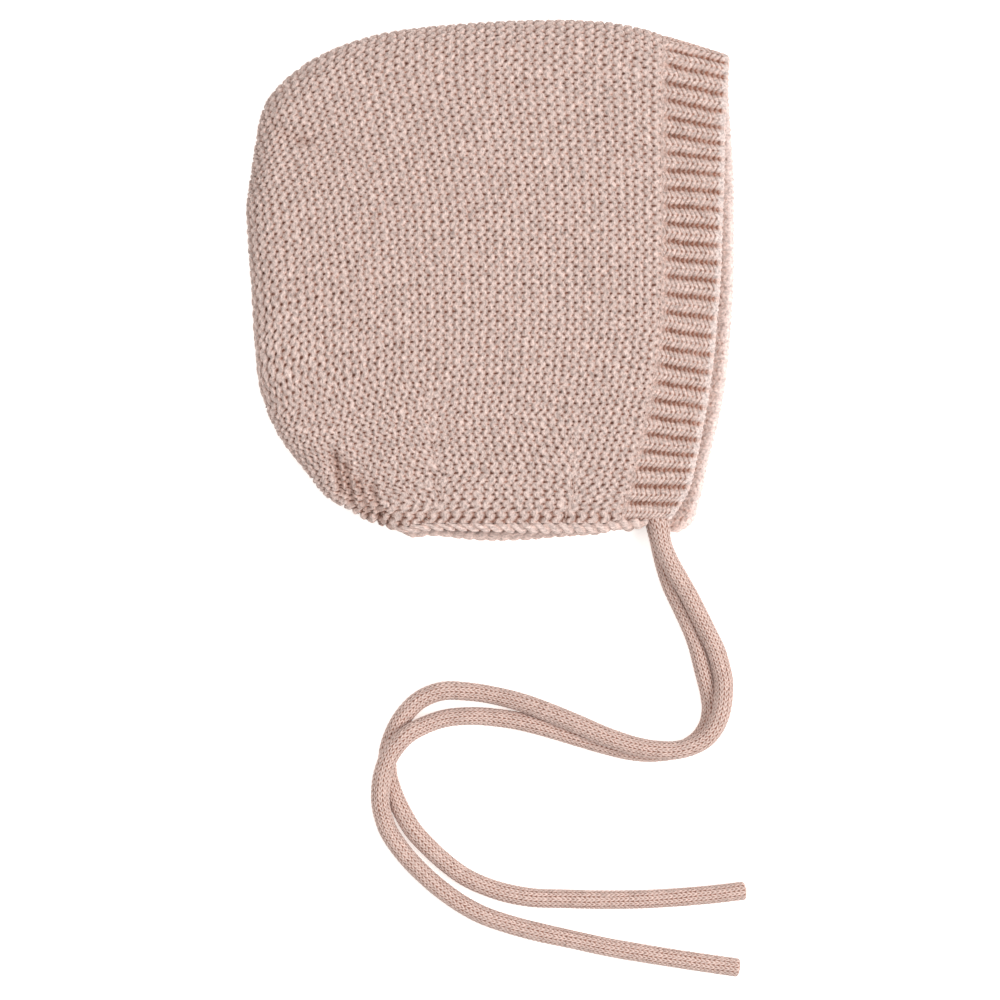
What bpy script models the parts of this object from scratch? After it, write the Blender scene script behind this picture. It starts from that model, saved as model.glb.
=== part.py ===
import math

import bpy
import numpy as np

DEPTH = 0.1656  # back fold to face edge as it lies, metres
HEIGHT = 0.1765  # neck edge to top fold
WALL = 0.0030  # garter stitch
BAND_WALL = 0.0028  # rib stitch
FOLD_REACH = 0.0095  # how far in from a fold the layers keep curving
STACK_BACK = 0.0170  # height of the two layers behind, in the middle and at the face
STACK_MIDDLE = 0.0180
STACK_FACE = 0.0150
NECK_PRESS = 0.80  # share of that height left at the neck edge
LAYER_SHIFT = 0.0048  # how much further out the under layer's seam lies at the neck
RIB_PITCH = 0.0059
RIB_DEPTH = 0.0009
EDGING_WIDTH = 0.0037
TIE_DIAMETER = 0.0060
GAP = 0.0003

COLUMNS = 34  # crown grid, back to seam
ROWS = 20  # one layer, neck to fold
FOLD_STEPS = 4  # quarter of a fold
BAND_COLUMNS = 4
RIB_STEPS = 5
TIE_POINTS = 44

# Outlines as shares of DEPTH from the back and of HEIGHT from the neck: (back, up)
BACK_FOLD = (
    (0.287, 0.023),
    (0.236, 0.041),
    (0.203, 0.060),
    (0.172, 0.077),
    (0.152, 0.094),
    (0.129, 0.123),
    (0.099, 0.158),
    (0.070, 0.195),
    (0.045, 0.243),
    (0.029, 0.291),
    (0.020, 0.355),
    (0.015, 0.422),
    (0.011, 0.489),
    (0.004, 0.566),
    (0.002, 0.644),
    (0.011, 0.707),
    (0.021, 0.769),
    (0.029, 0.811),
)
TOP_FOLD = (
    (0.029, 0.811),
    (0.043, 0.844),
    (0.078, 0.882),
    (0.133, 0.921),
    (0.203, 0.952),
    (0.285, 0.974),
    (0.378, 0.986),
    (0.480, 0.994),
    (0.583, 0.998),
    (0.686, 0.998),
    (0.768, 0.991),
    (0.823, 0.980),
    (0.860, 0.969),
)
NECK = (
    (0.287, 0.023),
    (0.320, 0.035),
    (0.378, 0.038),
    (0.480, 0.038),
    (0.604, 0.038),
    (0.686, 0.038),
    (0.772, 0.037),
)
NECK_UNDER = (
    (0.287, 0.023),
    (0.320, 0.028),
    (0.378, 0.027),
    (0.480, 0.022),
    (0.563, 0.024),
    (0.645, 0.030),
    (0.772, 0.036),
)
SEAM = (
    (0.772, 0.037),
    (0.780, 0.075),
    (0.791, 0.114),
    (0.801, 0.152),
    (0.819, 0.229),
    (0.836, 0.306),
    (0.850, 0.403),
    (0.854, 0.499),
    (0.854, 0.615),
    (0.854, 0.730),
    (0.854, 0.846),
    (0.856, 0.923),
    (0.860, 0.969),
)
FACE_UPPER = (
    (0.867, 0.037),
    (0.887, 0.064),
    (0.903, 0.091),
    (0.920, 0.152),
    (0.936, 0.229),
    (0.951, 0.316),
    (0.961, 0.412),
    (0.969, 0.499),
    (0.973, 0.595),
    (0.977, 0.692),
    (0.979, 0.788),
    (0.984, 0.865),
    (0.990, 0.933),
)
FACE_LOWER = (
    (0.883, 0.012),
    (0.912, 0.031),
    (0.928, 0.075),
    (0.945, 0.148),
    (0.965, 0.222),
    (0.982, 0.306),
    (0.992, 0.403),
    (0.998, 0.499),
    (0.999, 0.615),
    (0.998, 0.711),
    (0.992, 0.798),
    (0.988, 0.865),
    (0.990, 0.933),
)

# Dents of the upper layer: (back, up) of each end as shares, depth and half width in metres
DENTS = (
    {"start": (0.050, 0.795), "end": (0.180, 0.760), "depth": 0.0009, "half": 0.0035},
    {"start": (0.175, 0.155), "end": (0.215, 0.075), "depth": 0.0011, "half": 0.0030},
    {"start": (0.235, 0.125), "end": (0.262, 0.065), "depth": 0.0010, "half": 0.0030},
    {"start": (0.400, 0.260), "end": (0.372, 0.060), "depth": 0.0005, "half": 0.0040},
    {"start": (0.690, 0.210), "end": (0.672, 0.060), "depth": 0.0005, "half": 0.0040},
)

# Routes of the ties from the neck, in metres: across, up, height of the centre
TIE_UPPER = (
    (0.0576, -0.0825, 0.0106),
    (0.0587, -0.0896, 0.0097),
    (0.0610, -0.0954, 0.0097),
    (0.0638, -0.1005, 0.0089),
    (0.0668, -0.1056, 0.0083),
    (0.0695, -0.1107, 0.0080),
    (0.0721, -0.1158, 0.0078),
    (0.0746, -0.1209, 0.0073),
    (0.0770, -0.1260, 0.0065),
    (0.0785, -0.1311, 0.0061),
    (0.0796, -0.1362, 0.0068),
    (0.0796, -0.1413, 0.0079),
    (0.0789, -0.1464, 0.0087),
    (0.0770, -0.1515, 0.0092),
    (0.0736, -0.1559, 0.0094),
    (0.0689, -0.1586, 0.0095),
    (0.0631, -0.1600, 0.0095),
    (0.0563, -0.1598, 0.0094),
    (0.0495, -0.1586, 0.0092),
    (0.0396, -0.1554, 0.0088),
    (0.0308, -0.1516, 0.0081),
    (0.0223, -0.1481, 0.0071),
    (0.0134, -0.1448, 0.0053),
    (0.0036, -0.1421, 0.0032),
    (-0.0066, -0.1404, 0.0031),
    (-0.0168, -0.1403, 0.0031),
    (-0.0240, -0.1433, 0.0031),
    (-0.0294, -0.1487, 0.0031),
    (-0.0332, -0.1559, 0.0031),
    (-0.0348, -0.1624, 0.0031),
    (-0.0348, -0.1675, 0.0031),
    (-0.0337, -0.1722, 0.0031),
    (-0.0318, -0.1773, 0.0031),
    (-0.0294, -0.1822, 0.0031),
    (-0.0264, -0.1872, 0.0031),
    (-0.0219, -0.1923, 0.0031),
    (-0.0165, -0.1974, 0.0031),
    (-0.0090, -0.2031, 0.0031),
    (0.0019, -0.2079, 0.0031),
    (0.0138, -0.2105, 0.0031),
    (0.0257, -0.2110, 0.0031),
    (0.0393, -0.2113, 0.0031),
    (0.0529, -0.2111, 0.0031),
    (0.0665, -0.2103, 0.0031),
    (0.0767, -0.2094, 0.0031),
    (0.0876, -0.2081, 0.0031),
)
TIE_LOWER = (
    (0.0577, -0.0864, 0.0031),
    (0.0587, -0.0930, 0.0031),
    (0.0604, -0.0998, 0.0031),
    (0.0624, -0.1056, 0.0031),
    (0.0648, -0.1107, 0.0031),
    (0.0672, -0.1158, 0.0031),
    (0.0694, -0.1209, 0.0031),
    (0.0711, -0.1260, 0.0031),
    (0.0724, -0.1311, 0.0031),
    (0.0738, -0.1362, 0.0031),
    (0.0750, -0.1413, 0.0031),
    (0.0755, -0.1464, 0.0031),
    (0.0745, -0.1515, 0.0031),
    (0.0716, -0.1562, 0.0031),
    (0.0668, -0.1595, 0.0031),
    (0.0607, -0.1608, 0.0031),
    (0.0546, -0.1612, 0.0031),
    (0.0478, -0.1605, 0.0031),
    (0.0396, -0.1586, 0.0031),
    (0.0308, -0.1561, 0.0031),
    (0.0223, -0.1535, 0.0031),
    (0.0134, -0.1511, 0.0031),
    (0.0036, -0.1494, 0.0031),
    (-0.0066, -0.1487, 0.0031),
    (-0.0158, -0.1496, 0.0031),
    (-0.0223, -0.1518, 0.0045),
    (-0.0284, -0.1552, 0.0081),
    (-0.0325, -0.1596, 0.0093),
    (-0.0352, -0.1644, 0.0095),
    (-0.0367, -0.1695, 0.0092),
    (-0.0372, -0.1742, 0.0084),
    (-0.0371, -0.1787, 0.0070),
    (-0.0362, -0.1831, 0.0050),
    (-0.0345, -0.1879, 0.0034),
    (-0.0315, -0.1926, 0.0031),
    (-0.0277, -0.1974, 0.0031),
    (-0.0226, -0.2026, 0.0031),
    (-0.0168, -0.2076, 0.0031),
    (-0.0107, -0.2120, 0.0031),
    (-0.0032, -0.2162, 0.0031),
    (0.0070, -0.2198, 0.0031),
    (0.0172, -0.2225, 0.0031),
    (0.0274, -0.2247, 0.0031),
    (0.0393, -0.2273, 0.0031),
    (0.0529, -0.2297, 0.0031),
    (0.0682, -0.2321, 0.0031),
    (0.0855, -0.2346, 0.0031),
)

WOOL = {
    "crown": (0.60, 0.41, 0.36),
    "front_band": (0.61, 0.41, 0.36),
    "neck_edge": (0.64, 0.45, 0.40),
    "tie_upper": (0.63, 0.45, 0.41),
    "tie_lower": (0.63, 0.45, 0.41),
}


def smooth(table, shares):
    """Points at these shares of the length of a smooth curve through the table."""
    p = np.array(table, float)
    s = np.concatenate([[0], np.cumsum(np.linalg.norm(np.diff(p, axis=0), axis=1))])
    s /= s[-1]
    slope = np.gradient(p, s, axis=0)
    at = np.clip(np.asarray(shares, float), 0, 1)
    k = np.clip(np.searchsorted(s, at, side="right") - 1, 0, len(s) - 2)
    step = (s[k + 1] - s[k])[:, None]
    t = ((at - s[k]) / (s[k + 1] - s[k]))[:, None]
    return (
        (2 * t**3 - 3 * t**2 + 1) * p[k]
        + (t**3 - 2 * t**2 + t) * step * slope[k]
        + (3 * t**2 - 2 * t**3) * p[k + 1]
        + (t**3 - t**2) * step * slope[k + 1]
    )


def place(shares):
    """Shares of depth and height to metres, with the middle of the bonnet at the origin."""
    return (np.asarray(shares) - 0.5) * (DEPTH, HEIGHT)


def outline(table, shares):
    return smooth(place(table), shares)


def folded_outline():
    back = outline(BACK_FOLD, np.linspace(0, 1, 90))
    top = outline(TOP_FOLD, np.linspace(0, 1, 90))
    return np.concatenate([back, top[1:]])


def distance_to(points, line):
    """Shortest distance from each point to a polyline."""
    a, b = line[:-1], line[1:]
    run = b - a
    t = ((points[:, None] - a) * run).sum(-1) / (run**2).sum(-1)
    nearest = a + np.clip(t, 0, 1)[..., None] * run
    return np.sqrt(((points[:, None] - nearest) ** 2).sum(-1)).min(1)


def loop_stations(rows, length):
    """The way up the upper layer, over the top fold and down the under layer: share up, side and length so far."""
    flat = 1 - FOLD_REACH / length
    up = [(flat * j / rows, 1.0, j / rows * flat * length) for j in range(rows)]
    fold = []
    for k in range(2 * FOLD_STEPS + 1):
        turn = math.pi / 2 * k / FOLD_STEPS
        share = 1 - FOLD_REACH / length * (1 - math.sin(turn))
        side = 1.0 if k < FOLD_STEPS else -1.0
        fold.append((share, side, flat * length + FOLD_REACH * turn))
    last = fold[-1][2]
    down = [(v, -1.0, last + flat * length - run) for v, _, run in reversed(up)]
    return up + fold + down


def stack(points):
    """Height of the folded bonnet over each point."""
    x = points[:, 0] / DEPTH + 0.5
    y = points[:, 1] / HEIGHT + 0.5
    along = np.interp(x, (0, 0.4, 0.75, 1), (STACK_BACK, STACK_MIDDLE, STACK_MIDDLE, STACK_FACE))
    return along * np.interp(y, (0, 0.12, 0.35, 1), (NECK_PRESS, 0.5 + NECK_PRESS / 2, 1, 1))


def dented(points):
    """How far the dents press the upper layer down."""
    depth = np.zeros(len(points))
    for row in DENTS:
        line = place([row["start"], row["end"]])
        away = distance_to(points, line)
        depth += row["depth"] * np.exp(-((away / row["half"]) ** 2))
    return depth


def lift(flat, side, folds):
    """Stands plan points up: half the stack, and half more or less where the layers have parted from the fold."""
    inward = np.clip(distance_to(flat, folds) / FOLD_REACH, 0, 1)
    parted = np.sqrt(np.clip(1 - (1 - inward) ** 2, 0, 1))
    half = stack(flat) / 2
    z = half * (1 + side * parted)
    upper = side > 0
    z[upper] -= (dented(flat) * parted)[upper]
    return np.column_stack([flat, z])


def crown_plan(u, v, side):
    """Plan of the crown between its four edges: back fold, seam, neck and top fold."""
    neck = np.where(side[:, None] > 0, outline(NECK, u), outline(NECK_UNDER, u))
    seam = seam_line(v, side)
    back, top = outline(BACK_FOLD, v), outline(TOP_FOLD, u)
    d, c = place(BACK_FOLD[0]), place(BACK_FOLD[-1])
    b = place(SEAM[-1])
    a = seam_line(0 * v, side)
    u, v = u[:, None], v[:, None]
    ruled = (1 - v) * neck + v * top + (1 - u) * back + u * seam
    corners = (1 - u) * (1 - v) * d + u * (1 - v) * a + (1 - u) * v * c + u * v * b
    return ruled - corners


def seam_line(v, side):
    """Where the crown ends and the band begins. The under layer's seam lies a little further out."""
    line = outline(SEAM, v)
    outward = np.where(side < 0, LAYER_SHIFT, 0.0) * (1 - v) * np.clip(v / 0.1, 0, 1)
    drop = np.where(side < 0, NECK[-1][1] - NECK_UNDER[-1][1], 0.0) * HEIGHT * (1 - v)
    return line + np.column_stack([outward, -drop])


def grid_faces(index):
    a, b = index[:-1, :-1].ravel(), index[:-1, 1:].ravel()
    c, d = index[1:, 1:].ravel(), index[1:, :-1].ravel()
    return np.column_stack([a, b, c, d])


def add_sheet(name, points, index, wall, even):
    """An open sheet that a Solidify makes into a wall, growing inward."""
    used, fresh = np.unique(index, return_inverse=True)
    faces = grid_faces(fresh.reshape(index.shape))
    mesh = bpy.data.meshes.new(name)
    mesh.from_pydata(points[used].tolist(), [], faces.tolist())
    mesh.validate()
    obj = bpy.data.objects.new(name, mesh)
    solidify = obj.modifiers.new("Wall", "SOLIDIFY")
    solidify.thickness = wall
    solidify.offset = -1
    solidify.use_even_offset = even
    solidify.use_rim = True
    return obj


def add_crown():
    folds = folded_outline()
    span = DEPTH * 0.83
    edge = [FOLD_REACH / span * (1 - math.cos(math.pi / 2 * k / FOLD_STEPS)) for k in range(FOLD_STEPS)]
    even = np.linspace(FOLD_REACH / span, 1 - GAP / 2 / span, COLUMNS - FOLD_STEPS + 1)
    across = np.concatenate([edge, even])
    stations = loop_stations(ROWS, HEIGHT * 0.93)
    v, side, _ = (np.repeat(column, len(across)) for column in np.array(stations).T)
    u = np.tile(across, len(stations))
    points = lift(crown_plan(u, v, side), side, folds)
    index = np.arange(len(points)).reshape(len(stations), len(across))
    middle = len(stations) // 2
    index[middle + 1 :, 0] = index[:middle, 0][::-1]
    return add_sheet("crown", points, index, WALL, True)


def band_plan(u, v, side):
    seam = seam_line(v, side)
    upper, lower = outline(FACE_UPPER, v), outline(FACE_LOWER, v)
    face = np.where(side[:, None] > 0, upper, lower)
    run = face - seam
    start = GAP / 2 / np.linalg.norm(run, axis=1)
    share = start + (1 - start) * u
    return seam + share[:, None] * run


def normals_of(grid):
    along = np.gradient(grid, axis=0)
    over = np.gradient(grid, axis=1)
    n = np.cross(over, along)
    return n / np.linalg.norm(n, axis=2, keepdims=True)


def add_band():
    length = HEIGHT * 0.93
    ribs = round((length - FOLD_REACH) / RIB_PITCH)
    stations = loop_stations(ribs * RIB_STEPS, length)
    flat = (length - FOLD_REACH) / ribs
    fold_ribs = max(1, round(FOLD_REACH * math.pi / flat))
    v, side, run = np.array(stations).T
    steps = len(v)
    middle = steps // 2
    # The fold takes its own whole number of ribs, with as many steps to each.
    turns = np.linspace(0, math.pi, fold_ribs * RIB_STEPS + 1)
    flat_rows = ribs * RIB_STEPS
    v = np.concatenate([v[:flat_rows], 1 - FOLD_REACH / length * (1 - np.sin(turns)), v[:flat_rows][::-1]])
    side = np.concatenate([np.ones(flat_rows), np.where(turns < math.pi / 2 - 1e-6, 1.0, -1.0), -np.ones(flat_rows)])
    phase = np.arange(len(v)) / RIB_STEPS
    across = np.linspace(0, 1, BAND_COLUMNS + 1)
    rows, columns = len(v), len(across)
    flat_points = band_plan(np.tile(across, rows), np.repeat(v, columns), np.repeat(side, columns))
    # The top fold runs on from the crown's, so the distance to it is the share left to go up.
    inward = np.clip((1 - v) * length / FOLD_REACH, 0, 1)
    parted = np.sqrt(np.clip(1 - (1 - inward) ** 2, 0, 1))
    half = stack(flat_points) / 2
    z = half * (1 + np.repeat(side * parted, columns))
    grid = np.column_stack([flat_points, z]).reshape(rows, columns, 3)
    groove = ((1 + np.cos(2 * math.pi * phase)) / 2) ** 1.5
    grid = grid - normals_of(grid) * (RIB_DEPTH * groove)[:, None, None]
    index = np.arange(rows * columns).reshape(rows, columns)
    return add_sheet("front_band", grid.reshape(-1, 3), index, BAND_WALL, False)


def neck_stations():
    """Along the neck edge: from below the band, back along the upper layer, round the fold and forward again."""
    folds = folded_outline()
    span = DEPTH * 0.48
    near = [FOLD_REACH / span * (1 - math.cos(math.pi / 2 * k / FOLD_STEPS)) for k in range(FOLD_STEPS)]
    u = np.concatenate([near, np.linspace(FOLD_REACH / span, 1, 16)])
    under_band = np.array([0.15, 0.32, 0.48])
    sides = []
    for side in (1.0, -1.0):
        s, t = np.full(len(u), side), np.full(len(under_band), side)
        edge = np.concatenate([crown_plan(u, 0 * u, s), band_plan(under_band, 0 * t, t)])
        above = np.concatenate([crown_plan(u, 0 * u + 0.02, s), band_plan(under_band, 0 * t + 0.02, t)])
        s = np.concatenate([s, t])
        sides.append((lift(edge, s, folds), lift(above, s, folds)))
    (e1, a1), (e2, a2) = sides
    return np.concatenate([e1[::-1], e2[1:]]), np.concatenate([a1[::-1], a2[1:]])


def add_edging():
    edge, above = neck_stations()
    outward = edge - above
    outward /= np.linalg.norm(outward, axis=1, keepdims=True)
    along = np.gradient(edge, axis=0)
    normal = np.cross(along, outward)
    normal /= np.linalg.norm(normal, axis=1, keepdims=True)
    middle = edge - normal * WALL / 2 + outward * (GAP + EDGING_WIDTH / 2)
    sides = 8
    turn = 2 * math.pi * (np.arange(sides) + 0.5) / sides
    reach = 1 / math.cos(math.pi / sides)
    rings = (
        middle[:, None]
        + outward[:, None] * (np.cos(turn) * reach * EDGING_WIDTH / 2)[None, :, None] * 0.92
        + normal[:, None] * (np.sin(turn) * reach * WALL / 2)[None, :, None]
    )
    rings[..., 2] = np.maximum(rings[..., 2], 0)  # flat where it lies
    n = len(middle)
    index = np.arange(n * sides).reshape(n, sides)
    index = np.column_stack([index, index[:, :1]])
    faces = grid_faces(index).tolist()
    faces += [list(range(sides))[::-1], list(range((n - 1) * sides, n * sides))]
    mesh = bpy.data.meshes.new("neck_edge")
    mesh.from_pydata(rings.reshape(-1, 3).tolist(), [], faces)
    return bpy.data.objects.new("neck_edge", mesh)


def add_tie(name, route):
    curve = bpy.data.curves.new(name, "CURVE")
    curve.dimensions = "3D"
    curve.bevel_depth = TIE_DIAMETER / 2
    curve.bevel_resolution = 3
    curve.use_fill_caps = True
    spline = curve.splines.new("POLY")
    points = smooth(route, np.linspace(0, 1, TIE_POINTS))
    spline.points.add(len(points) - 1)
    for at, point in zip(spline.points, points):
        at.co = (*point, 1)
    return bpy.data.objects.new(name, curve)


def wool(name, colour):
    material = bpy.data.materials.new(name)
    material.use_nodes = True
    shader = material.node_tree.nodes["Principled BSDF"]
    shader.inputs["Base Color"].default_value = (*colour, 1)
    shader.inputs["Roughness"].default_value = 0.95
    return material


for old in list(bpy.data.objects):
    bpy.data.objects.remove(old)
bonnet = bpy.data.collections.new("baby_bonnet")
bpy.context.scene.collection.children.link(bonnet)
pieces = [
    add_crown(),
    add_band(),
    add_edging(),
    add_tie("tie_upper", TIE_UPPER),
    add_tie("tie_lower", TIE_LOWER),
]
for piece in pieces:
    bonnet.objects.link(piece)
    piece.data.materials.append(wool("wool_" + piece.name, WOOL[piece.name]))
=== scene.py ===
import bpy
import numpy as np
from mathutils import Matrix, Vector


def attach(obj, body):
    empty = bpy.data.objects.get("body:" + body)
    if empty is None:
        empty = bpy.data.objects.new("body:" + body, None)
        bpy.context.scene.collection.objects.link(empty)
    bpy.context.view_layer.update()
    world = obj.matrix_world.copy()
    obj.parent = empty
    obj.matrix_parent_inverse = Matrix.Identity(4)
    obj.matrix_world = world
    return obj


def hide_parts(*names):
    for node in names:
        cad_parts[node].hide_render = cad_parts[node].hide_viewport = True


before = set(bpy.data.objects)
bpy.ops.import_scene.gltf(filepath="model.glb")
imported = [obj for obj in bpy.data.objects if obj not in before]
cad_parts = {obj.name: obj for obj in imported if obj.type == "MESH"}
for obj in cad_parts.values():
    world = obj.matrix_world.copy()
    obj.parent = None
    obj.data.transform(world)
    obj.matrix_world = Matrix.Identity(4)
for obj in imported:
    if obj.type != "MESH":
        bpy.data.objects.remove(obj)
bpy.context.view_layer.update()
print("frame loaded:", sorted(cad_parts))

cameraView = {"centre": (0.0035, -0.0750), "distance": 2.0, "width": 0.340, "eyeLevel": 0.009}
cameraData = bpy.data.cameras.new("straightDown")
cameraData.sensor_width = 36
cameraData.lens = 36 * cameraView["distance"] / cameraView["width"]
camera = bpy.data.objects.new("straightDown", cameraData)
camera.location = (*cameraView["centre"], cameraView["distance"] + cameraView["eyeLevel"])
bpy.context.scene.collection.objects.link(camera)
bpy.context.scene.camera = camera
print("camera placed")


def softCurve(table, shares):
    # Hermite curve through the table's points, read at shares of its length
    p = np.array(table, float)
    s = np.concatenate([[0], np.cumsum(np.linalg.norm(np.diff(p, axis=0), axis=1))])
    s /= s[-1]
    slope = np.gradient(p, s, axis=0)
    at = np.clip(np.asarray(shares, float), 0, 1)
    k = np.clip(np.searchsorted(s, at, side="right") - 1, 0, len(s) - 2)
    step = (s[k + 1] - s[k])[:, None]
    t = ((at - s[k]) / (s[k + 1] - s[k]))[:, None]
    return (
        (2 * t**3 - 3 * t**2 + 1) * p[k]
        + (t**3 - 2 * t**2 + t) * step * slope[k]
        + (3 * t**2 - 2 * t**3) * p[k + 1]
        + (t**3 - t**2) * step * slope[k + 1]
    )


def ease(x):
    # 0 below 0, 1 above 1, with a soft start and end between
    x = np.clip(x, 0, 1)
    return x * x * (3 - 2 * x)


def quarterRound(x):
    # sqrt(1 - (1 - x)^2): starts at 0 as steeply as a circle and ends level at 1
    return np.sqrt(np.clip(1 - (1 - x) ** 2, 0, 1))


def unit(vectors):
    # the same directions, each 1 long
    return vectors / np.linalg.norm(vectors, axis=-1, keepdims=True)


def stepLengths(line):
    return np.linalg.norm(np.diff(line, axis=0), axis=1)


def softNoise(x, y, size, seed):
    # random heights on a square lattice of that size, joined by eased steps, from -1 to 1
    table = np.random.default_rng(seed).uniform(-1, 1, (61, 67))
    gx, gy = np.asarray(x) / size, np.asarray(y) / size
    i, j = np.floor(gx).astype(int), np.floor(gy).astype(int)
    fx, fy = ease(gx - i), ease(gy - j)
    value = lambda a, b: table[a % 61, b % 67]
    near = value(i, j) * (1 - fx) + value(i + 1, j) * fx
    far = value(i, j + 1) * (1 - fx) + value(i + 1, j + 1) * fx
    return near * (1 - fy) + far * fy


def swayed(value, x, y, *sways):
    # the value plus some soft noises, each given by its amount, size and seed
    for amount, size, seed in sways:
        value = value + amount * softNoise(x, y, size, seed)
    return value


def stitchNoise(column, row, seed):
    # one random number from -1 to 1 for each whole stitch
    table = np.random.default_rng(seed).uniform(-1, 1, (59, 71))
    return table[np.floor(column).astype(int) % 59, np.floor(row).astype(int) % 71]


def normalsOf(grid):
    # cross product of the two grid directions, to length 1
    n = np.cross(np.gradient(grid, axis=1), np.gradient(grid, axis=0))
    return n / np.maximum(np.linalg.norm(n, axis=2, keepdims=True), 1e-12)


def gridFaces(index):
    # four corners for each square of a grid of point numbers
    a, b = index[:-1, :-1].ravel(), index[:-1, 1:].ravel()
    c, d = index[1:, 1:].ravel(), index[1:, :-1].ravel()
    return np.column_stack([a, b, c, d])


def meshFrom(name, points, faces, material, attributes):
    # quads from arrays; attributes are one number for each point
    mesh = bpy.data.meshes.new(name)
    mesh.vertices.add(len(points))
    mesh.vertices.foreach_set("co", np.ascontiguousarray(points, np.float32).ravel())
    mesh.loops.add(faces.size)
    mesh.loops.foreach_set("vertex_index", np.ascontiguousarray(faces, np.int32).ravel())
    mesh.polygons.add(len(faces))
    mesh.polygons.foreach_set("loop_start", np.arange(0, faces.size, 4, dtype=np.int32))
    mesh.polygons.foreach_set("use_smooth", np.ones(len(faces), bool))
    for label, values in attributes.items():
        layer = mesh.attributes.new(label, "FLOAT", "POINT")
        layer.data.foreach_set("value", np.ascontiguousarray(values, np.float32).ravel())
    mesh.update(calc_edges=True)
    mesh.validate()
    mesh.materials.append(material)
    piece = bpy.data.objects.new(name, mesh)
    bpy.context.scene.collection.objects.link(piece)
    return piece


def gridPiece(name, grid, material, attributes, place=None, flip=False, closed=False, normals=None):
    # a sheet of points, rows by columns, with each point's place in the knit;
    # closed joins the last column to the first, and place then has one column more
    rows, columns = grid.shape[:2]
    index = np.arange(rows * columns).reshape(rows, columns)
    if closed:
        index = np.column_stack([index, index[:, :1]])
    faces = gridFaces(index)
    if flip:
        faces = faces[:, ::-1]
    piece = meshFrom(name, grid.reshape(-1, 3), faces, material, attributes)
    if place is not None:
        corners = gridFaces(np.arange(rows * place.shape[1]).reshape(rows, -1))
        corners = place.reshape(-1, 3)[corners[:, ::-1] if flip else corners]
        layer = piece.data.attributes.new("stitchPlace", "FLOAT_VECTOR", "CORNER")
        layer.data.foreach_set("vector", np.ascontiguousarray(corners, np.float32).ravel())
    if normals is not None:
        piece.data.normals_split_custom_set_from_vertices(normals.reshape(-1, 3).tolist())
    return piece


def readRepeat(table, column, row):
    # the repeat's value at any column and row, in whole and part repeats, blended between its four nearest steps
    steps = table.shape[0]
    x, y = (column % 1) * steps - 0.5, (row % 1) * steps - 0.5
    i, j = np.floor(x).astype(int), np.floor(y).astype(int)
    fx, fy = x - i, y - j
    i0, i1, j0, j1 = i % steps, (i + 1) % steps, j % steps, (j + 1) % steps
    return (
        table[j0, i0] * (1 - fx) * (1 - fy)
        + table[j0, i1] * fx * (1 - fy)
        + table[j1, i0] * (1 - fx) * fy
        + table[j1, i1] * fx * fy
    )


garterStitch = {
    "ridge": 0.00302,  # across one ridge, metres
    "stitch": 0.003036,  # along the ridge
    # the two loops of a repeat: middle and half size across and along, and height
    "loops": ((0.53, 0.0, 0.40, 0.54, 1.0), (0.17, 0.5, 0.38, 0.52, 0.97)),
    "round": 2.4,  # 2 would make the loops round, more makes them squarer
    "ground": 0.40,  # height between the loops, as a share of the highest loop
    "blur": 26,  # the repeat is softened by one part in so many
    # the holes between them: middle and half size, and depth, which the material also paints as shade
    "holes": ((0.05, 0.02, 0.24, 0.125, 0.64), (0.68, 0.50, 0.15, 0.115, 0.42), (0.46, 0.50, 0.17, 0.075, 0.16)),
    # the valley beside the broad loops: middle, sway, half width, depth, also painted as shade
    "valley": (0.86, 0.12, 0.12, 0.16),
    # a hole is deepest out to this share of its half size and ends at the other
    "holeEdge": (0.3, 1.3),
}


def garterRepeat(steps=72):
    # loops: domes (1 - |x|^p - |y|^p)^0.5, the higher wins; pits: soft holes and a swaying valley
    middles = (np.arange(steps) + 0.5) / steps
    a, b = np.meshgrid(middles, middles)
    apart = lambda here, there: (here - there + 0.5) % 1 - 0.5
    power, ground, outside = garterStitch["round"], garterStitch["ground"], garterStitch["holeEdge"][1]
    loops, pits = np.zeros((steps, steps)), np.zeros((steps, steps))
    for atX, atY, wide, tall, height in garterStitch["loops"]:
        x, y = np.abs(apart(a, atX)) / wide, np.abs(apart(b, atY)) / tall
        loops = np.maximum(loops, height * np.sqrt(np.clip(1 - x**power - y**power, 0, 1)))
    for atX, atY, wide, tall, deep in garterStitch["holes"]:
        pits = pits + deep * ease(outside - np.hypot(apart(a, atX) / wide, apart(b, atY) / tall))
    middle, sway, wide, deep = garterStitch["valley"]
    pits = pits + deep * ease(outside - np.abs(apart(a - middle, sway * np.cos(2 * np.pi * b)) / wide))
    wave = np.fft.fftfreq(steps)
    blur = np.exp(-(wave[:, None] ** 2 + wave[None, :] ** 2) * 2 * (steps / garterStitch["blur"]) ** 2)
    return [np.real(np.fft.ifft2(np.fft.fft2(layer) * blur)) for layer in (ground + (1 - ground) * loops, pits)]
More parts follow.
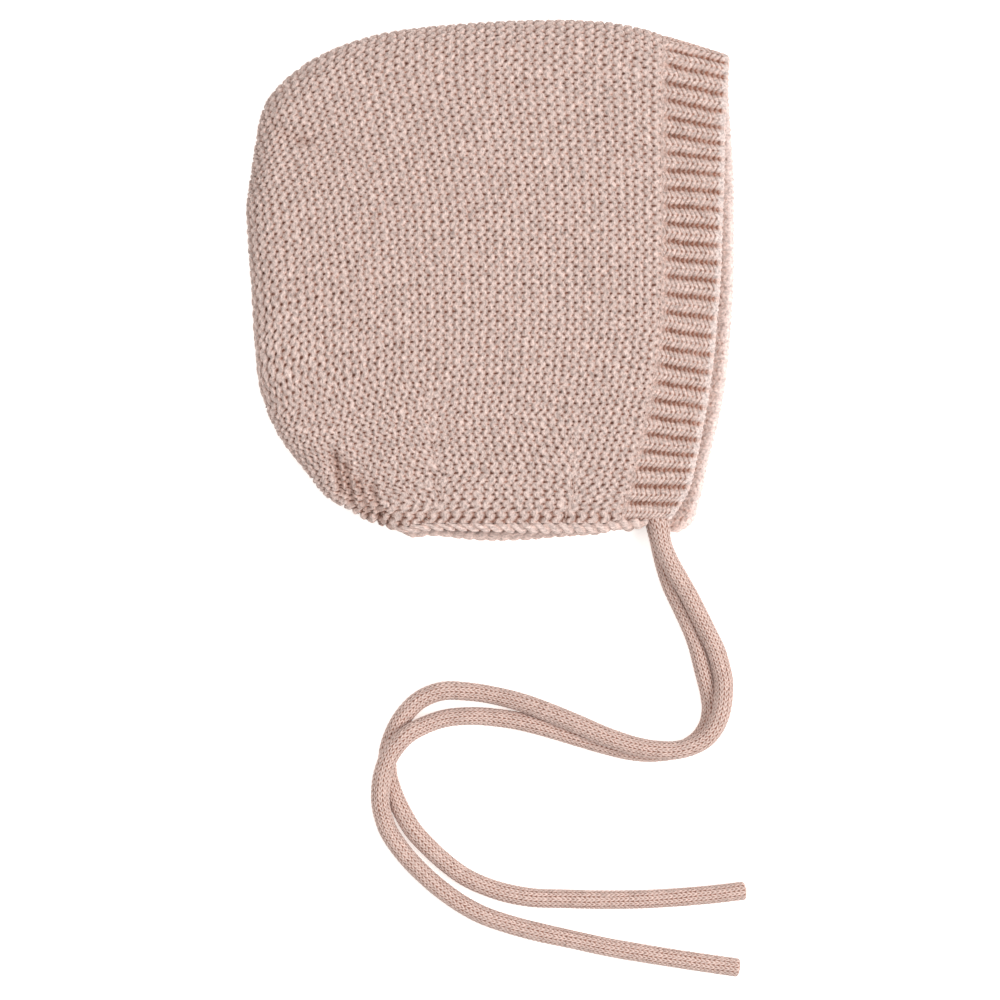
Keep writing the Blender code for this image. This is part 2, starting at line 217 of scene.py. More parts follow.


# plain stitches: half width and sweep of the legs, how dark the painted shade in the valley between two legs, in
# the dot where they meet and in the groove beside the column is, and where the groove starts as a share of the
# half width
veeStitches = {
    "rib": {"Half": 0.36, "Sweep": 0.66, "Line": 0.46, "Dot": 0.66, "Groove": 0.70, "Start": 0.86},
    "tie": {"Half": 0.5, "Sweep": 0.8, "Line": 0.52, "Dot": 0.62, "Groove": 1.05, "Start": 0.62},
}
veeShape = {
    "power": 3.0,  # of a leg's section: 2 is a circle, more is fuller
    "middle": (0.16, 0.45),  # the legs sink at the middle line: over what share of the half width, how much
    "outer": (0.70, 0.35, 0.55),  # and at their outer ends: from what share, over what share, how much
    "line": (0.28, 0.5),  # distance from a crest where the painted-shade line starts, and where it is darkest
    "dot": (0.32, 0.36),  # half size of a dot across and along
    "dotEdge": (0.2, 1.2),  # parts of that size where it starts to fade and where it ends
    "grooveWidth": 0.36,
    # the groove's painted shade is spotted: distances from a crest where it starts and ends to darken, and its
    # strengths there
    "grooveSpots": (0.05, 0.42, 0.22, 1.15),
}


def veeRelief(x, y, vee):
    # a leg's crest where y + sweep * t is a half, a valley where it is whole, t the share of the half
    # width from the middle line; the legs sink at the middle line and at their outer ends
    middleWidth, middleSink = veeShape["middle"]
    outerStart, outerWidth, outerSink = veeShape["outer"]
    t = np.abs(x % 1 - 0.5) / vee["Half"]
    away = 2 * np.abs((y + vee["Sweep"] * t) % 1 - 0.5)
    leg = np.sqrt(np.clip(1 - away ** veeShape["power"], 0, 1))
    middle = np.exp(-((t / middleWidth) ** 2))
    return np.clip(leg * (1 - middleSink * middle) * (1 - outerSink * ease((t - outerStart) / outerWidth)), 0, 1)


def setInputs(node, values):
    for label, value in values.items():
        node.inputs[label].default_value = value


def woolFinish():
    # the fine fibre relief and the slow colour drift that every wool shares
    group = bpy.data.node_groups.new("woolFibre", "ShaderNodeTree")
    inputs = {"Fibre scale": ("Float", 1300), "Patch scale": ("Float", 170), "Streak": ("Vector", (1, 1, 1))}
    for label, (kind, value) in inputs.items():
        socket = group.interface.new_socket(label, in_out="INPUT", socket_type="NodeSocket" + kind)
        socket.default_value = value
    for label in ("Relief", "Patch"):
        group.interface.new_socket(label, in_out="OUTPUT", socket_type="NodeSocketFloat")
    nodes, links = group.nodes, group.links
    start, end = nodes.new("NodeGroupInput"), nodes.new("NodeGroupOutput")
    place, stretch = nodes.new("ShaderNodeTexCoord"), nodes.new("ShaderNodeMapping")
    fine, patch = nodes.new("ShaderNodeTexNoise"), nodes.new("ShaderNodeTexNoise")
    setInputs(stretch, {"Rotation": (0, 0, 0.2)})
    setInputs(fine, {"Detail": 2, "Roughness": 0.7, "Distortion": 0.4})
    setInputs(patch, {"Detail": 2})
    links.new(start.outputs["Streak"], stretch.inputs["Scale"])
    links.new(place.outputs["Object"], stretch.inputs["Vector"])
    links.new(stretch.outputs["Vector"], fine.inputs["Vector"])
    links.new(place.outputs["Object"], patch.inputs["Vector"])
    links.new(start.outputs["Fibre scale"], fine.inputs["Scale"])
    links.new(start.outputs["Patch scale"], patch.inputs["Scale"])
    links.new(fine.outputs["Fac"], end.inputs["Relief"])
    links.new(patch.outputs["Fac"], end.inputs["Patch"])
    return group


def feed(tree, socket, value):
    # a number sets the socket, another node's socket is linked to it
    if isinstance(value, (int, float)):
        socket.default_value = value
    else:
        tree.links.new(value, socket)


def numberStep(tree, operation, *values):
    node = tree.nodes.new("ShaderNodeMath")
    node.operation = operation
    for socket, value in zip(node.inputs, values):
        feed(tree, socket, value)
    return node.outputs["Value"]


def vectorStep(tree, operation, source, values=None):
    node = tree.nodes.new("ShaderNodeVectorMath")
    node.operation = operation
    tree.links.new(source, node.inputs[0])
    if values:
        node.inputs[1].default_value = values
    return node.outputs["Value" if operation == "LENGTH" else "Vector"]


def edgeStep(tree, source, low, high, atLow, atHigh):
    # goes softly from atLow to atHigh while the source goes from low to high
    node = tree.nodes.new("ShaderNodeMapRange")
    node.interpolation_type = "SMOOTHSTEP"
    labels = ("Value", "From Min", "From Max", "To Min", "To Max")
    for label, value in zip(labels, (source, low, high, atLow, atHigh)):
        feed(tree, node.inputs[label], value)
    return node.outputs["Result"]


def fromMiddle(tree, value):
    # distance of a value's part after the point from one half
    return numberStep(tree, "ABSOLUTE", numberStep(tree, "SUBTRACT", numberStep(tree, "FRACT", value), 0.5))


def patternGroup(name, numbers):
    # an empty group that turns a place in the knit into the depth of its dark spots, which are painted shade
    tree = bpy.data.node_groups.new(name, "ShaderNodeTree")
    tree.interface.new_socket("Place", in_out="INPUT", socket_type="NodeSocketVector")
    for label, value in numbers.items():
        tree.interface.new_socket(label, in_out="INPUT", socket_type="NodeSocketFloat").default_value = value
    tree.interface.new_socket("Depth", in_out="OUTPUT", socket_type="NodeSocketFloat")
    start, end = tree.nodes.new("NodeGroupInput"), tree.nodes.new("NodeGroupOutput")
    split = tree.nodes.new("ShaderNodeSeparateXYZ")
    tree.links.new(start.outputs["Place"], split.inputs["Vector"])
    return tree, start.outputs, end.inputs["Depth"], split.outputs


def garterHoles():
    # the same holes and valley as in garterRepeat, worked out for each point of the picture as painted shade in
    # them
    tree, given, result, at = patternGroup("garterHoles", {})
    inside, outside = garterStitch["holeEdge"]
    total = 0.0
    for x, y, wide, tall, deep in garterStitch["holes"]:
        away = vectorStep(tree, "FRACTION", vectorStep(tree, "SUBTRACT", given["Place"], (x - 0.5, y - 0.5, 0)))
        away = vectorStep(tree, "DIVIDE", vectorStep(tree, "SUBTRACT", away, (0.5, 0.5, 0)), (wide, tall, 1))
        hole = edgeStep(tree, vectorStep(tree, "LENGTH", away), inside, outside, deep, 0.0)
        total = numberStep(tree, "ADD", total, hole)
    middle, sway, wide, deep = garterStitch["valley"]
    wave = numberStep(tree, "COSINE", numberStep(tree, "MULTIPLY", at["Y"], 2 * np.pi))
    bend = numberStep(tree, "MULTIPLY_ADD", wave, sway, middle - 0.5)
    away = fromMiddle(tree, numberStep(tree, "SUBTRACT", at["X"], bend))
    valley = edgeStep(tree, numberStep(tree, "DIVIDE", away, wide), inside, outside, deep, 0.0)
    tree.links.new(numberStep(tree, "ADD", total, valley), result)
    return tree


def veeLines():
    # painted shade in the valleys between the legs, where y + sweep * t is whole, in dots where two legs meet and
    # in grooves between the columns
    tree, given, result, at = patternGroup("veeLines", veeStitches["rib"])
    dotWide, dotLong = veeShape["dot"]
    t = numberStep(tree, "DIVIDE", fromMiddle(tree, at["X"]), given["Half"])
    valley = fromMiddle(tree, numberStep(tree, "MULTIPLY_ADD", t, given["Sweep"], at["Y"]))
    line = edgeStep(tree, valley, *veeShape["line"], 0.0, given["Line"])
    dotAlong = numberStep(tree, "DIVIDE", numberStep(tree, "SUBTRACT", 0.5, fromMiddle(tree, at["Y"])), dotLong)
    dotAcross = numberStep(tree, "DIVIDE", t, dotWide)
    squares = [numberStep(tree, "POWER", way, 2.0) for way in (dotAlong, dotAcross)]
    reach = numberStep(tree, "SQRT", numberStep(tree, "ADD", *squares))
    dot = edgeStep(tree, reach, *veeShape["dotEdge"], given["Dot"], 0.0)
    grooveEnd = numberStep(tree, "ADD", given["Start"], veeShape["grooveWidth"])
    side = edgeStep(tree, t, given["Start"], grooveEnd, 0.0, given["Groove"])
    groove = numberStep(tree, "MULTIPLY", side, edgeStep(tree, valley, *veeShape["grooveSpots"]))
    total = numberStep(tree, "ADD", numberStep(tree, "MAXIMUM", line, dot), groove)
    tree.links.new(total, result)
    return tree


fibreGroup, holeGroup, veeGroup = woolFinish(), garterHoles(), veeLines()


def woolMaterial(name, look, pattern=None, numbers=None):
    # colour: painted shade by the depth kept on each point, more painted shade in the pattern's holes and lines,
    # lightness by the tone kept on each point; fibre relief as a bump
    material = bpy.data.materials.new(name)
    material.use_nodes = True
    tree = material.node_tree
    nodes, links = tree.nodes, tree.links

    def kept(label, output="Fac"):
        node = nodes.new("ShaderNodeAttribute")
        node.attribute_name = label
        return node.outputs[output]

    shader = nodes["Principled BSDF"]
    setInputs(shader, look["surface"])
    fibre = nodes.new("ShaderNodeGroup")
    fibre.node_tree = fibreGroup
    setInputs(fibre, {"Fibre scale": look["fibre"], "Patch scale": look["patch"], "Streak": look["streak"]})
    depth = kept("stitchDepth")
    if pattern:
        holes = nodes.new("ShaderNodeGroup")
        holes.node_tree = pattern
        setInputs(holes, numbers or {})
        links.new(kept("stitchPlace", "Vector"), holes.inputs["Place"])
        patternShade = numberStep(tree, "MULTIPLY", holes.outputs["Depth"], kept("holeStrength"))
        depth = numberStep(tree, "SUBTRACT", depth, patternShade)
    ramp = nodes.new("ShaderNodeValToRGB")
    ramp.color_ramp.interpolation = "EASE"
    for mark, (at, colour) in zip(ramp.color_ramp.elements, (look["ramp"][0], look["ramp"][-1])):
        mark.position, mark.color = at, (*colour, 1)
    for at, colour in look["ramp"][1:-1]:
        ramp.color_ramp.elements.new(at).color = (*colour, 1)
    links.new(depth, ramp.inputs["Fac"])
    # the patches lighten or darken by a few per cent, the fibres by more
    drift = numberStep(tree, "MULTIPLY_ADD", fibre.outputs["Patch"], look["drift"], kept("stitchTone"))
    speck = numberStep(tree, "MULTIPLY_ADD", fibre.outputs["Relief"], look["fleck"], drift)
    shade = nodes.new("ShaderNodeHueSaturation")
    links.new(speck, shade.inputs["Value"])
    links.new(numberStep(tree, "ADD", kept("shadeAndLightWarmth"), 1.0), shade.inputs["Saturation"])
    links.new(ramp.outputs["Color"], shade.inputs["Color"])
    links.new(shade.outputs["Color"], shader.inputs["Base Color"])
    bump = nodes.new("ShaderNodeBump")
    setInputs(bump, {"Distance": look["relief"], "Strength": 0.8})
    links.new(fibre.outputs["Relief"], bump.inputs["Height"])
    links.new(bump.outputs["Normal"], shader.inputs["Normal"])
    return material


woolLook = {
    "surface": {
        "Roughness": 0.93,
        "Specular IOR Level": 0.25,
        "Sheen Weight": 0.10,
        "Sheen Roughness": 0.45,
        "Sheen Tint": (1.0, 0.94, 0.91, 1),
    },
    "fibre": 1300,  # fibres a metre
    "streak": (1.0, 0.55, 1.0),  # fibres run along the second axis
    "patch": 170,
    "drift": 0.02,  # how much the patches change the lightness
    "fleck": 2.2,  # how much the fibres do
    "relief": 0.00035,
    # painted shade by depth: share of full depth (0 deepest) and colour there, dark brown where it is deepest
    "ramp": (
        (0.0, (0.230, 0.105, 0.072)),
        (0.35, (0.360, 0.205, 0.160)),
        (0.6, (0.500, 0.345, 0.295)),
        (0.85, (0.600, 0.448, 0.398)),
        (1.0, (0.640, 0.500, 0.453)),
    ),
}
ribLook = {**woolLook, "streak": (0.8, 0.9, 1.0)}
edgingLook = {**woolLook, "streak": (0.5, 1.0, 1.0)}
tieLook = {**woolLook, "fleck": 1.2, "streak": (0.9, 0.9, 0.9)}
garterWool = woolMaterial("garterWool", woolLook, holeGroup)
ribWool = woolMaterial("ribWool", ribLook, veeGroup, veeStitches["rib"])
edgingWool = woolMaterial("edgingWool", edgingLook)
tieWool = woolMaterial("tieWool", tieLook, veeGroup, veeStitches["tie"])
# both noises lie round one half, so their mean is taken off the tone kept on the points
toneBase, tieToneBase = (-look["drift"] / 2 - look["fleck"] / 2 for look in (woolLook, tieLook))
print("materials made")

# middle lines from the band to the bare ends, in tenths of a millimetre
tieRoutes = {
    "tie_upper": (
        (562, -775, 78), (576, -825, 101), (587, -896, 97), (610, -954, 97), (638, -1005, 89),
        (668, -1056, 83), (695, -1107, 80), (721, -1158, 78), (746, -1209, 73), (770, -1260, 65),
        (785, -1311, 61), (796, -1362, 68), (796, -1413, 79), (789, -1464, 87), (770, -1515, 92),
        (736, -1559, 94), (689, -1586, 95), (631, -1600, 95), (563, -1598, 94), (495, -1586, 92),
        (396, -1554, 88), (308, -1516, 81), (223, -1481, 71), (134, -1448, 53), (36, -1421, 32),
        (-66, -1404, 31), (-168, -1403, 31), (-240, -1433, 31), (-294, -1487, 31), (-332, -1559, 31),
        (-348, -1624, 31), (-348, -1675, 31), (-337, -1722, 31), (-318, -1773, 31), (-294, -1822, 31),
        (-264, -1872, 31), (-219, -1923, 31), (-165, -1974, 31), (-90, -2031, 31), (19, -2079, 31),
        (138, -2105, 31), (257, -2110, 31), (393, -2113, 31), (529, -2111, 31), (665, -2103, 31),
        (767, -2094, 31), (876, -2081, 31),
    ),
    "tie_lower": (
        (570, -820, 31), (577, -864, 31), (587, -930, 31), (604, -998, 31), (624, -1056, 31), (648, -1107, 31),
        (672, -1158, 31), (694, -1209, 31), (711, -1260, 31), (724, -1311, 31), (738, -1362, 31),
        (750, -1413, 31), (755, -1464, 31), (745, -1515, 31), (716, -1562, 31), (668, -1595, 31),
        (607, -1608, 31), (546, -1612, 31), (478, -1605, 31), (396, -1586, 31), (308, -1561, 31),
        (223, -1535, 31), (134, -1511, 31), (36, -1494, 31), (-66, -1487, 31), (-158, -1496, 31),
        (-223, -1518, 45), (-284, -1552, 81), (-325, -1596, 93), (-352, -1644, 95), (-367, -1695, 92),
        (-372, -1742, 84), (-371, -1787, 70), (-362, -1831, 50), (-345, -1879, 34), (-315, -1926, 31),
        (-277, -1974, 31), (-226, -2026, 31), (-168, -2076, 31), (-107, -2120, 31), (-32, -2162, 31),
        (70, -2198, 31), (172, -2225, 31), (274, -2247, 31), (393, -2273, 31), (529, -2297, 31),
        (682, -2321, 31), (855, -2346, 31),
    ),
}
tieKnit = {
    "diameter": 0.0060,
    "wales": 11,  # columns of V's round the tube
    "stitch": 0.00165,  # one V along the tie
    "stepsRound": 6,  # points for each column
    "stepsAlong": 5,  # rings for each V
    "relief": 0.00070,
    "level": 0.72,  # share of the relief that lies within the tube's own radius
    "twist": (0.35, 0.35),  # turns of the tube, and over what length
    "tail": 0.0012,  # length over which the end closes
    "root": (0.35, 0.0070),  # how much thicker it starts, and over what length that fades
    "lowest": 0.00012,  # the underside is flat at this height
    "depth": (0.80, 0.16),  # painted shade: lightness in a valley, and how much lighter a crest is
    "tone": (1.20, 0.05),  # lightness of all, and how much stitches differ
    "spots": (1, 0.3),  # strength of the dark lines of painted shade, and how much stitches differ
    "seeds": {"tie_upper": 11, "tie_lower": 23},
}


def tiePiece(name):
    # a tube: centre + radius * (side * cos + up * sin), the radius following the V's
    knit, seed = tieKnit, tieKnit["seeds"][name]
    route = np.array(tieRoutes[name]) / 10000
    length = stepLengths(softCurve(route, np.linspace(0, 1, 400))).sum()
    stitches = round(length / knit["stitch"])
    share = np.linspace(0, 1, stitches * knit["stepsAlong"] + 1)
    centre = softCurve(route, share)
    ahead = unit(np.gradient(centre, axis=0))
    side = unit(np.cross(ahead, (0, 0, 1)))
    up = np.cross(side, ahead)
    around = knit["wales"] * knit["stepsRound"]
    turn = np.arange(around + 1) / around
    column, row = np.meshgrid(turn * knit["wales"], share * stitches)
    column = swayed(column, column % knit["wales"], row, (0.08, 3.1, seed), (0.03, 0.9, seed + 4))
    sway = swayed(row, column % knit["wales"], row, (0.08, 2.3, seed + 1), (0.05, 0.8, seed + 5))
    height = veeRelief(column, sway, veeStitches["tie"])
    thicker, fade = knit["root"]
    swell = swayed(1, row, 0 * row, (0.035, 9.0, seed + 2))
    swell = swell * (1 + thicker * np.exp(-((share[:, None] * length / fade) ** 2)))
    radius = knit["diameter"] / 2 * swell - knit["relief"] * (knit["level"] - height)
    closing = np.minimum(share, 1 - share) * length / knit["tail"]
    radius = radius * quarterRound(np.clip(closing, 0, 1))[:, None]
    turns, over = knit["twist"]
    angle = (turn[None, :] + turns * share[:, None] * length / over) * 2 * np.pi
    grid = (
        centre[:, None]
        + side[:, None] * (np.cos(angle) * radius)[..., None]
        + up[:, None] * (np.sin(angle) * radius)[..., None]
    )
    grid[..., 2] = np.maximum(grid[..., 2], knit["lowest"])
    depth, tone, spots = knit["depth"], knit["tone"], knit["spots"]
    # painted shade: darker in the valleys between the V's, lighter on their crests
    looks = {
        "stitchDepth": depth[0] + depth[1] * height,
        "stitchTone": tone[0] + tone[1] * stitchNoise(column, sway, seed + 3) + tieToneBase,
        "holeStrength": spots[0] + spots[1] * stitchNoise(column, sway, seed + 6),
    }
    looks = {label: values[:, :-1] for label, values in looks.items()}
    place = np.stack([column, sway, 0 * column], axis=-1)
    piece = gridPiece(name + "_knit", grid[:, :-1], tieWool, looks, place, closed=True)
    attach(piece, "root")
    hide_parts(name)
    path = softCurve(route, np.linspace(0, 1, 160))
    print(name, "is", round(length, 4), "m long,", stitches, "stitches")


tiePiece("tie_upper")
tiePiece("tie_lower")

bonnetPlan = {
    "depth": 0.1656,  # back fold to face edge, metres
    "height": 0.1765,
    "wall": 0.0030,
    "bandWall": 0.0028,
    "foldReach": 0.0095,  # how far in from a fold the layers part fully
    "foldEase": 0.5,  # share of the fold's extra length that shows as stitches; stretching takes up the rest
    "stack": ((0, 0.0170), (0.4, 0.0180), (0.75, 0.0180), (1, 0.0150)),  # share back, height
    "press": ((0, 0.80), (0.12, 0.90), (0.35, 1), (1, 1)),  # share up, part of that height
    "layerShift": 0.0048,  # how much further out the under layer's seam lies near the neck
    "crownRun": 0.83,  # length of the crown across, as a share of the depth
    "neckRun": 0.48,  # length of its neck edge, as a share of the depth
    "seamRun": 0.93,  # length of the seam, as a share of the height
    # how the neck edge sags: by how much between its ends, over what share it begins at each end, a low place
    # near the back (depth, middle and half width as shares), and up to what share of the height
    "sag": {"all": 0.0013, "ends": 0.10, "back": (0.0010, 0.07, 0.06), "upTo": 0.035},
    # the outlines: (from the back, up) as shares of depth and height
    "backFold": (
        (0.287, 0.023), (0.236, 0.041), (0.203, 0.060), (0.172, 0.077), (0.152, 0.094), (0.129, 0.123),
        (0.099, 0.158), (0.070, 0.195), (0.045, 0.243), (0.029, 0.291), (0.020, 0.355), (0.015, 0.422),
        (0.011, 0.489), (0.004, 0.566), (0.002, 0.644), (0.011, 0.707), (0.021, 0.769), (0.029, 0.811),
    ),
    "topFold": (
        (0.029, 0.811), (0.043, 0.844), (0.078, 0.882), (0.133, 0.921), (0.203, 0.952), (0.285, 0.974),
        (0.378, 0.986), (0.480, 0.994), (0.583, 0.998), (0.686, 0.998), (0.768, 0.991), (0.823, 0.980),
        (0.860, 0.969),
    ),
    "neck": (
        (0.287, 0.023), (0.320, 0.035), (0.378, 0.038), (0.480, 0.038), (0.604, 0.038), (0.686, 0.038),
        (0.772, 0.037),
    ),
    "neckUnder": (
        (0.287, 0.023), (0.320, 0.028), (0.378, 0.027), (0.480, 0.022), (0.563, 0.024), (0.645, 0.030),
        (0.772, 0.036),
    ),
    "seam": (
        (0.772, 0.037), (0.780, 0.075), (0.791, 0.114), (0.801, 0.152), (0.819, 0.229), (0.836, 0.306),
        (0.850, 0.403), (0.854, 0.499), (0.854, 0.615), (0.854, 0.730), (0.854, 0.846), (0.856, 0.923),
        (0.860, 0.969),
    ),
    "faceUpper": (
        (0.867, 0.037), (0.887, 0.064), (0.903, 0.091), (0.920, 0.152), (0.936, 0.229), (0.951, 0.316),
        (0.961, 0.412), (0.969, 0.499), (0.973, 0.595), (0.977, 0.692), (0.979, 0.788), (0.984, 0.865),
        (0.990, 0.933),
    ),
    "faceLower": (
        (0.883, 0.012), (0.912, 0.031), (0.928, 0.075), (0.945, 0.148), (0.965, 0.222), (0.982, 0.306),
        (0.992, 0.403), (0.998, 0.499), (0.999, 0.615), (0.998, 0.711), (0.992, 0.798), (0.988, 0.865),
        (0.990, 0.933),
    ),
    # dents of the upper layer: start and end as shares, depth and half width in metres
    "dents": (
        ((0.050, 0.795), (0.180, 0.760), 0.0009, 0.0035),
        ((0.175, 0.155), (0.215, 0.075), 0.0011, 0.0030),
        ((0.235, 0.125), (0.262, 0.065), 0.0010, 0.0030),
        ((0.400, 0.260), (0.372, 0.060), 0.0005, 0.0040),
        ((0.690, 0.210), (0.672, 0.060), 0.0005, 0.0040),
    ),
}


def inPlace(shares):
    # from shares of depth and height to metres from the middle
    return (np.asarray(shares) - 0.5) * (bonnetPlan["depth"], bonnetPlan["height"])


def edgeLine(label, shares):
    return softCurve(inPlace(bonnetPlan[label]), shares)


foldShares = np.linspace(0, 1, 110)
foldLine = np.concatenate([edgeLine("backFold", foldShares), edgeLine("topFold", foldShares)[1:]])
seamLength = bonnetPlan["height"] * bonnetPlan["seamRun"]


def nearestOn(points, line):
    # distance to a polyline and its left-hand normal there, worked out for a few thousand points at a time
    a, run = line[:-1], np.diff(line, axis=0)
    out = unit(np.column_stack([-run[:, 1], run[:, 0]]))
    away, normal = [], []
    for part in np.array_split(points, max(1, len(points) // 4000)):
        t = np.clip(((part[:, None] - a) * run).sum(-1) / (run**2).sum(-1), 0, 1)
        square = ((part[:, None] - a - t[..., None] * run) ** 2).sum(-1)
        k = square.argmin(1)
        away.append(np.sqrt(square[np.arange(len(part)), k]))
        normal.append(out[k])
    return np.concatenate(away), np.concatenate(normal)


def stackHeight(points):
    # height of the folded pair: the table across times the table up
    x = points[:, 0] / bonnetPlan["depth"] + 0.5
    y = points[:, 1] / bonnetPlan["height"] + 0.5
    return np.interp(x, *zip(*bonnetPlan["stack"])) * np.interp(y, *zip(*bonnetPlan["press"]))


def dentDepth(points):
    # each dent is deep * exp(-(away / half)^2) round its line
    depth = np.zeros(len(points))
    for start, end, deep, half in bonnetPlan["dents"]:
        away, _ = nearestOn(points, inPlace([start, end]))
        depth += deep * np.exp(-((away / half) ** 2))
    return depth


def seamLine(v, side):
    # the seam, which on the under layer lies further out and starts lower
    outward = np.where(side < 0, bonnetPlan["layerShift"], 0.0) * (1 - v) * np.clip(v / 0.1, 0, 1)
    drop = np.where(side < 0, bonnetPlan["neck"][-1][1] - bonnetPlan["neckUnder"][-1][1], 0.0)
    return edgeLine("seam", v) + np.column_stack([outward, -drop * bonnetPlan["height"] * (1 - v)])


def neckSag(u, v):
    # how far the neck edge hangs: the same between its ends, and a soft low place near the back
    sag = bonnetPlan["sag"]
    deep, at, half = sag["back"]
    low = sag["all"] * ease(u / sag["ends"]) * ease((1 - u) / sag["ends"])
    low = low + deep * np.exp(-(((u - at) / half) ** 2))
    return low * ease((sag["upTo"] - v) / sag["upTo"])


def crownPlan(u, v, side):
    # Coons patch: ruled between neck and top fold plus ruled between back fold and seam, less the corners' patch
    neck = np.where(side[:, None] > 0, edgeLine("neck", u), edgeLine("neckUnder", u))
    seam, back, top = seamLine(v, side), edgeLine("backFold", v), edgeLine("topFold", u)
    backLow, backHigh = inPlace(bonnetPlan["backFold"][0]), inPlace(bonnetPlan["backFold"][-1])
    seamLow, seamHigh = seamLine(0 * v, side), inPlace(bonnetPlan["seam"][-1])
    sag = np.column_stack([0 * u, neckSag(u, v)])
    u, v = u[:, None], v[:, None]
    ruled = (1 - v) * neck + v * top + (1 - u) * back + u * seam
    corners = (1 - u) * (1 - v) * backLow + u * (1 - v) * seamLow + (1 - u) * v * backHigh + u * v * seamHigh
    return ruled - sag - corners


def standUp(flat, side):
    # half the stack, plus or minus half where the layers have parted: sqrt(1 - (1 - inward)^2) near a fold
    reach = bonnetPlan["foldReach"]
    away, normal = nearestOn(flat, foldLine)
    inward = np.clip(away / reach, 0, 1)
    parted = quarterRound(inward)
    half = stackHeight(flat) / 2
    z = half * (1 + side * parted)
    upper = side > 0
    z[upper] -= (dentDepth(flat) * parted)[upper]
    # outward direction: level at the fold, upright where the layers have parted
    level = (half / reach * (1 - inward))[:, None]
    facing = unit(np.column_stack([normal * level, side * np.maximum(parted, 1e-3)]))
    # how much further out this point was before the knit was folded, less what the fold stretches
    unrolled = bonnetPlan["foldEase"] * (np.pi / 2 - 1 - (np.arccos(np.clip(1 - inward, -1, 1)) - inward))
    return np.column_stack([flat, z]), flat + normal * (reach * unrolled)[:, None], facing


garterField = {
    # width of a ridge at each height
    "pitch": ((-0.0850, 0.00394), (-0.0790, 0.00380), (-0.0733, 0.00345), (-0.0648, 0.00306), (-0.0444, 0.00279),
              (-0.0206, 0.00290), (0.0270, 0.00301), (0.0712, 0.00336)),
    "lowest": -0.0838,  # where stitch 0 begins, at the middle of the neck
    # ridges that end before the neck: their number, counted from the seam, and the height where they end
    "ended": (
        (8, -0.0512), (9, -0.0556), (7, -0.0597), (10, -0.0641), (6, -0.0682), (5, -0.0740), (11, -0.0777),
        (27, -0.0393), (28, -0.0444), (26, -0.0505), (29, -0.0563), (30, -0.0620), (25, -0.0675), (31, -0.0709),
        (24, -0.0750), (32, -0.0784), (35, -0.0740), (37, -0.0700), (39, -0.0650), (41, -0.0610),
    ),
    "pinch": 0.0055,  # length over which such a ridge narrows
    "ridges": 60,  # how many are counted, more than the crown has
    # how far a row of stitches lies below its place in the middle, in tenths of a millimetre: for each height,
    # the drops at the places across
    "across": (-0.0815, -0.0680, -0.0510, -0.0306, -0.0102, 0.0102, 0.0460, 0.0580),
    "drop": (
        (-0.0852, (70, 50, 30, 0, 0, 0, 0, 10)),
        (-0.0648, (200, 150, 95, 30, 0, 0, 18, 34)),
        (-0.0444, (230, 180, 112, 48, 10, 0, 18, 34)),
        (-0.0206, (126, 88, 48, 14, 3, 0, 3, 10)),
        (0.0032, (58, 41, 20, 3, 0, 0, 0, 7)),
        (0.0270, (44, 27, 10, 0, 0, 0, 0, 10)),
        (0.0508, (153, 112, 65, 31, 10, 0, 8, 22)),
        (0.0712, (200, 146, 95, 44, 11, 0, 20, 34)),
        (0.0950, (250, 180, 120, 60, 20, 0, 30, 50)),
    ),
    # raised knots where a ridge was turned: across, up, half length, half width, height
    "knots": (
        (0.0296, -0.0512, 0.0022, 0.0013, 0.00045), (0.0282, -0.0597, 0.0022, 0.0013, 0.00045),
        (0.0286, -0.0660, 0.0020, 0.0013, 0.00040), (0.0290, -0.0740, 0.0024, 0.0015, 0.00050),
        (0.0272, -0.0780, 0.0020, 0.0012, 0.00035),
        (-0.0190, -0.0393, 0.0018, 0.0013, 0.00030), (-0.0218, -0.0508, 0.0020, 0.0014, 0.00045),
        (-0.0198, -0.0629, 0.0022, 0.0014, 0.00050), (-0.0226, -0.0700, 0.0018, 0.0013, 0.00035),
        (-0.0184, -0.0774, 0.0020, 0.0013, 0.00040),
    ),
    # fine folds pressed into the upper layer: start, end, depth, half width
    "folds": (
        ((-0.0735, 0.0522), (-0.0690, 0.0487), 0.0004, 0.0019),
        ((-0.0690, 0.0487), (-0.0615, 0.0462), 0.0004, 0.0016),
        ((-0.0648, 0.0471), (-0.0642, 0.0464), 0.0009, 0.0010),
        ((-0.0621, 0.0469), (-0.0615, 0.0460), 0.0009, 0.0010),
        ((-0.0525, -0.0597), (-0.0505, -0.0723), 0.0018, 0.0012),
        ((-0.0488, -0.0631), (-0.0468, -0.0760), 0.0018, 0.0012),
        ((-0.0444, -0.0682), (-0.0420, -0.0801), 0.0016, 0.0012),
        ((-0.0400, -0.0706), (-0.0372, -0.0825), 0.0014, 0.0012),
    ),
    "relief": 0.00150,  # full height of the yarn relief
    "stand": 0.00040,  # how far the tops stand out of the plain wall
    "foldRelief": (0.8, 0.0004),  # along the folds: how much higher the relief is, how much less it stands out
    "foldShade": 230,  # how dark the painted shade in a pressed fold gets, for each metre of its depth
    "tuck": (0.0006, 0.0005),  # the under layer's edge along the fold: up, and back into the wall
    "holeStrength": (0.77, 0.17),  # mean and spread of the stitches' holes
    # valleys deepen near the neck, in the relief and in its painted shade: below what height, over what length and
    # by how much, at which share of the repeat and how wide to each side
    "neckValley": {"below": -0.0775, "over": 0.0045, "depth": 0.42, "at": 0.40, "half": 0.15},
    "seamSmooth": 0.45,  # how far the picked-up column by the seam goes towards a plain chain
    "seamTone": 0.03,  # how much lighter it is
    "toneSpread": 0.02,  # how much stitches differ in lightness
    "pointsPerStitch": {"upper": (4, 7), "under": (3, 5), "lining": (2, 2.6)},  # quick and full
    "seed": 3,
    "liningSeed": 71,
    "liningShare": 0.7,  # relief of the inside over that of the outside
}


